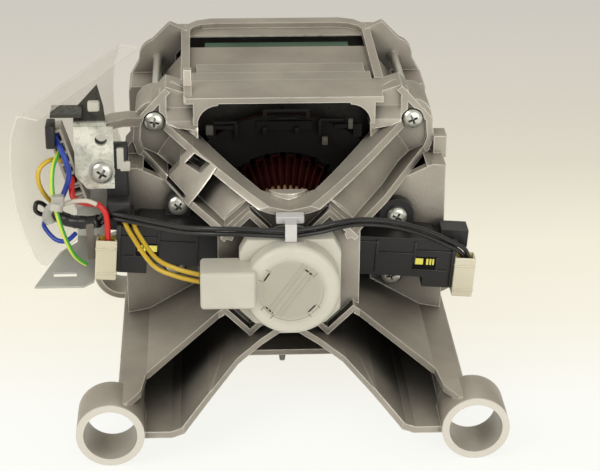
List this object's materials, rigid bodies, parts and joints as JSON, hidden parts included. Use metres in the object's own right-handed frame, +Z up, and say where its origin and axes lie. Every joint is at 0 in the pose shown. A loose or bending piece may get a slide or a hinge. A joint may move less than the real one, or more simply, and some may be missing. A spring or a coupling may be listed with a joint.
{
  "type": "washing machine motor",
  "caption": "Brushed universal motor for a washing machine: open cast end shields with hanging lugs, laminated stator, armature, brush holders, tacho, ribbed belt pulley and wired connector.",
  "frame": {"origin": "on the shaft axis, at the middle of the belt pulley's width", "axes": "+Y along the shaft, from the commutator end out through the pulley; +Z up with the lugs below; +X to the right seen from the commutator end"},
  "size_m": [0.2057, 0.2472, 0.1351],
  "materials": {
    "cast_alloy": "sand-blasted die casting",
    "laminations": "stamped sheets, dull",
    "copper_wire": "enamelled wire",
    "varnished_wire": "red varnish",
    "copper_bars": "turned",
    "black_plastic": "moulded",
    "green_sheet": "insulating sheet",
    "zinc_steel": "zinc plated",
    "bearing_steel": "ground",
    "shaft_steel": "turned",
    "magnet": "sintered",
    "white_plastic": "moulded",
    "brass_strip": "stamped",
    "carbon": "pressed graphite",
    "spring_steel": "drawn",
    "galvanised": "galvanised sheet",
    "clear_sheet": "clear sheet",
    "black_lead": "lead insulation",
    "yellow_lead": "lead insulation",
    "red_lead_skin": "lead insulation",
    "earth_lead_skin": "lead insulation",
    "blue_lead_skin": "lead insulation"
  },
  "bodies": {
    "housing": {"rear_end_shield": "cast_alloy", "front_end_shield": "cast_alloy", "stator_core": "laminations", "upper_field_coil": "copper_wire", "lower_field_coil": "copper_wire", "rear_coil_frame": "black_plastic", "front_coil_frame": "black_plastic", "insulation_strip": "green_sheet", "tie_bolts": "zinc_steel", "rear_bearing_outer_ring": "bearing_steel", "front_bearing_outer_ring": "bearing_steel", "preload_washer": "spring_steel", "tacho_coil": "copper_wire", "tacho_cap": "white_plastic", "brush_holder_left": "black_plastic", "brush_holder_right": "black_plastic", "brush_tube_left": "brass_strip", "brush_tube_right": "brass_strip", "brush_spring_left": "spring_steel", "brush_spring_right": "spring_steel", "brush_terminals": "brass_strip", "terminal_cover_left": "white_plastic", "terminal_cover_right": "white_plastic", "holder_screws": "zinc_steel", "terminal_bracket": "galvanised", "bracket_screw": "zinc_steel", "connector_housing": "white_plastic", "connector_contacts": "brass_strip", "lower_bracket": "galvanised", "earth_terminal": "galvanised", "splash_guard": "clear_sheet", "cable_clip": "white_plastic", "brush_leads": "black_lead", "tacho_leads": "yellow_lead", "red_lead": "red_lead_skin", "earth_lead": "earth_lead_skin", "blue_leads": "blue_lead_skin", "yellow_loop": "yellow_lead", "black_loop": "black_lead", "pale_lead": "white_plastic", "black_sleeve": "black_lead", "cable_tie": "white_plastic"},
    "rotor": {"rotor_shaft": "shaft_steel", "armature_core": "laminations", "armature_coils": "varnished_wire", "armature_winding": "copper_wire", "commutator_bars": "copper_bars", "commutator_hub": "black_plastic", "cooling_fan": "black_plastic", "drive_pulley": "shaft_steel", "tacho_magnet": "magnet", "rear_bearing_inner_ring": "bearing_steel", "front_bearing_inner_ring": "bearing_steel"},
    "rear_bearing_train": {"rear_bearing_balls": "bearing_steel", "rear_bearing_cage": "bearing_steel"},
    "front_bearing_train": {"front_bearing_balls": "bearing_steel", "front_bearing_cage": "bearing_steel"},
    "brush_left": {"carbon_brush_left": "carbon"},
    "brush_right": {"carbon_brush_right": "carbon"}
  },
  "joints": [
    {"name": "rotor_spin", "type": "hinge", "parent": "housing", "child": "rotor", "pos_m": [0, 0, 0], "axis": [0, 1, 0], "continuous": true},
    {"name": "rear_bearing_roll", "type": "hinge", "parent": "housing", "child": "rear_bearing_train", "pos_m": [0, -0.1805, 0], "axis": [0, 1, 0], "continuous": true},
    {"name": "front_bearing_roll", "type": "hinge", "parent": "housing", "child": "front_bearing_train", "pos_m": [0, -0.0235, 0], "axis": [0, 1, 0], "continuous": true},
    {"name": "brush_left_slide", "type": "slide", "parent": "housing", "child": "brush_left", "axis": [-0.9976, 0, 0.0698], "range_m": [0, 0.006], "stiffness_N_per_m": 200, "springref_m": -0.01, "deforming": ["brush_spring_left"]},
    {"name": "brush_right_slide", "type": "slide", "parent": "housing", "child": "brush_right", "axis": [0.9976, 0, -0.0698], "range_m": [0, 0.006], "stiffness_N_per_m": 200, "springref_m": -0.01, "deforming": ["brush_spring_right"]}
  ],
  "couplings": [
    {"joint": "rear_bearing_roll", "follows": "rotor_spin", "ratio": 0.36},
    {"joint": "front_bearing_roll", "follows": "rotor_spin", "ratio": 0.38}
  ]
}
